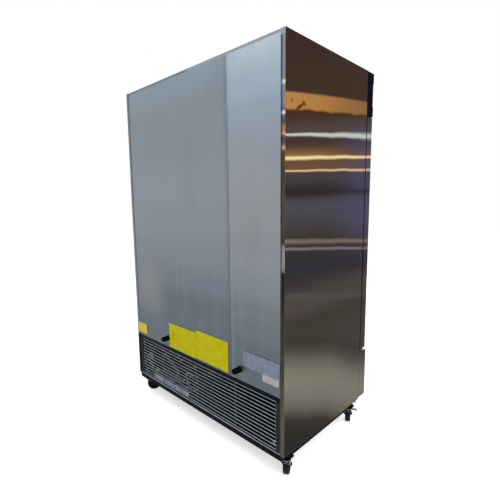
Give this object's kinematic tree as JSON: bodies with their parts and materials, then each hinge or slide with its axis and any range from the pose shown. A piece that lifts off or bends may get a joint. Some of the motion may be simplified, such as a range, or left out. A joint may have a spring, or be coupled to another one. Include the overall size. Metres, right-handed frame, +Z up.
{
  "type": "reach-in freezer",
  "caption": "Upright double-door reach-in freezer on swivel casters, with wire shelves, a moulded header and a bottom-mounted condensing unit behind a wire grille.",
  "frame": {"origin": "middle of the footprint, on the floor", "axes": "+Z up, +Y towards the back with the wire grille, -Y towards the doors, +X to the right of someone facing the doors"},
  "size_m": [1.3878, 0.89, 2.14],
  "materials": {
    "stainless": "brushed stainless sheet",
    "galvanised": "satin galvanised sheet",
    "foam": "foamed-in-place insulation",
    "liner": "satin",
    "white_plastic": "smooth",
    "black_paint": "satin black",
    "black_plastic": "fine grained",
    "display": "glossy",
    "button": "smooth",
    "grille_wire": "pale grey coated wire",
    "rubber": "matt",
    "lock": "polished",
    "zinc": "bright zinc plated",
    "shelf_wire": "coated wire",
    "fins": "finned",
    "fan_plastic": "moulded",
    "pan_plastic": "moulded",
    "motor": "painted",
    "copper": "drawn copper tube",
    "tyre": "solid rubber tyre on a plastic core",
    "lever": "zinc plated"
  },
  "bodies": {
    "cabinet": {"left_side_panel": "stainless", "right_side_panel": "stainless", "top_panel": "stainless", "wide_back_panel": "galvanised", "narrow_back_panel": "galvanised", "cabinet_foam": "foam", "inner_liner": "liner", "face_frame": "stainless", "breaker_frame": "white_plastic", "compartment_frame": "galvanised", "base_frame": "black_paint", "header_cover": "black_plastic", "display_module": "display", "front_panel": "stainless", "rear_grille": "grille_wire", "rear_bumpers": "rubber", "hinge_brackets": "zinc", "shelf_standards": "zinc", "left_shelf_low": "shelf_wire", "left_shelf_middle": "shelf_wire", "left_shelf_high": "shelf_wire", "right_shelf_low": "shelf_wire", "right_shelf_middle": "shelf_wire", "right_shelf_high": "shelf_wire", "evaporator_housing": "liner", "evaporator_coil": "fins", "drain_line": "pan_plastic", "condenser_tray": "galvanised", "compressor": "black_paint", "condenser_coil": "fins", "condenser_fan_motor": "motor", "refrigerant_lines": "copper", "electrical_box": "black_plastic", "caster_plates": "zinc"},
    "right_door": {"right_door_skin": "stainless", "right_door_core": "white_plastic", "right_gasket": "rubber", "right_handle": "black_plastic"},
    "left_door": {"left_door_skin": "stainless", "left_door_core": "white_plastic", "left_gasket": "rubber", "left_handle": "black_plastic"},
    "right_lock_cylinder": {"right_lock": "lock"},
    "left_lock_cylinder": {"left_lock": "lock"},
    "button_up_cap": {"button_up": "button"},
    "button_down_cap": {"button_down": "button"},
    "button_set_cap": {"button_set": "button"},
    "rear_left_swivel": {"rear_left_fork": "zinc"},
    "rear_left_rolling_wheel": {"rear_left_wheel": "tyre"},
    "rear_right_swivel": {"rear_right_fork": "zinc"},
    "rear_right_rolling_wheel": {"rear_right_wheel": "tyre"},
    "front_left_swivel": {"front_left_fork": "zinc"},
    "front_left_rolling_wheel": {"front_left_wheel": "tyre"},
    "left_brake": {"left_brake_lever": "lever"},
    "front_right_swivel": {"front_right_fork": "zinc"},
    "front_right_rolling_wheel": {"front_right_wheel": "tyre"},
    "right_brake": {"right_brake_lever": "lever"},
    "right_evaporator_fan_rotor": {"right_evaporator_fan": "fan_plastic"},
    "left_evaporator_fan_rotor": {"left_evaporator_fan": "fan_plastic"},
    "condenser_fan_rotor": {"condenser_fan": "fan_plastic"}
  },
  "joints": [
    {"name": "right_door_hinge", "type": "hinge", "parent": "cabinet", "child": "right_door", "pos_m": [0.669, -0.41, 1.184], "axis": [0, 0, 1], "range_deg": [0, 110]},
    {"name": "left_door_hinge", "type": "hinge", "parent": "cabinet", "child": "left_door", "pos_m": [-0.669, -0.41, 1.184], "axis": [0, 0, -1], "range_deg": [0, 110]},
    {"name": "right_lock_turn", "type": "hinge", "parent": "right_door", "child": "right_lock_cylinder", "pos_m": [0.065, -0.432, 1.3965], "axis": [0, 1, 0], "range_deg": [0, 90]},
    {"name": "left_lock_turn", "type": "hinge", "parent": "left_door", "child": "left_lock_cylinder", "pos_m": [-0.065, -0.432, 1.3965], "axis": [0, 1, 0], "range_deg": [0, 90]},
    {"name": "button_up_press", "type": "slide", "parent": "cabinet", "child": "button_up_cap", "axis": [0, 1, 0], "range_m": [0, 0.0012], "stiffness_N_per_m": 300},
    {"name": "button_down_press", "type": "slide", "parent": "cabinet", "child": "button_down_cap", "axis": [0, 1, 0], "range_m": [0, 0.0012], "stiffness_N_per_m": 300},
    {"name": "button_set_press", "type": "slide", "parent": "cabinet", "child": "button_set_cap", "axis": [0, 1, 0], "range_m": [0, 0.0012], "stiffness_N_per_m": 300},
    {"name": "rear_left_caster_swivel", "type": "hinge", "parent": "cabinet", "child": "rear_left_swivel", "pos_m": [-0.658, 0.342, 0.105], "axis": [0, 0, 1], "continuous": true},
    {"name": "rear_left_wheel_roll", "type": "hinge", "parent": "rear_left_swivel", "child": "rear_left_rolling_wheel", "pos_m": [-0.6405, 0.31169, 0.05], "axis": [0.866, 0.5, 0], "continuous": true},
    {"name": "rear_right_caster_swivel", "type": "hinge", "parent": "cabinet", "child": "rear_right_swivel", "pos_m": [0.658, 0.342, 0.105], "axis": [0, 0, 1], "continuous": true},
    {"name": "rear_right_wheel_roll", "type": "hinge", "parent": "rear_right_swivel", "child": "rear_right_rolling_wheel", "pos_m": [0.6405, 0.31169, 0.05], "axis": [0.866, -0.5, 0], "continuous": true},
    {"name": "front_left_caster_swivel", "type": "hinge", "parent": "cabinet", "child": "front_left_swivel", "pos_m": [-0.658, -0.289, 0.105], "axis": [0, 0, 1], "continuous": true},
    {"name": "front_left_wheel_roll", "type": "hinge", "parent": "front_left_swivel", "child": "front_left_rolling_wheel", "pos_m": [-0.6405, -0.31931, 0.05], "axis": [0.866, 0.5, 0], "continuous": true},
    {"name": "left_brake_press", "type": "hinge", "parent": "front_left_swivel", "child": "left_brake", "pos_m": [-0.6405, -0.31931, 0.05], "axis": [0.866, 0.5, 0], "range_deg": [0, 20]},
    {"name": "front_right_caster_swivel", "type": "hinge", "parent": "cabinet", "child": "front_right_swivel", "pos_m": [0.658, -0.289, 0.105], "axis": [0, 0, 1], "continuous": true},
    {"name": "front_right_wheel_roll", "type": "hinge", "parent": "front_right_swivel", "child": "front_right_rolling_wheel", "pos_m": [0.66706, -0.32281, 0.05], "axis": [0.9659, 0.2588, 0], "continuous": true},
    {"name": "right_brake_press", "type": "hinge", "parent": "front_right_swivel", "child": "right_brake", "pos_m": [0.66706, -0.32281, 0.05], "axis": [0.9659, 0.2588, 0], "range_deg": [0, 20]},
    {"name": "right_evaporator_fan_spin", "type": "hinge", "parent": "cabinet", "child": "right_evaporator_fan_rotor", "pos_m": [0.25, 0.046, 1.991], "axis": [0, 1, 0], "continuous": true},
    {"name": "left_evaporator_fan_spin", "type": "hinge", "parent": "cabinet", "child": "left_evaporator_fan_rotor", "pos_m": [-0.25, 0.046, 1.991], "axis": [0, 1, 0], "continuous": true},
    {"name": "condenser_fan_spin", "type": "hinge", "parent": "cabinet", "child": "condenser_fan_rotor", "pos_m": [0.39, -0.208, 0.2825], "axis": [0, 1, 0], "continuous": true}
  ]
}
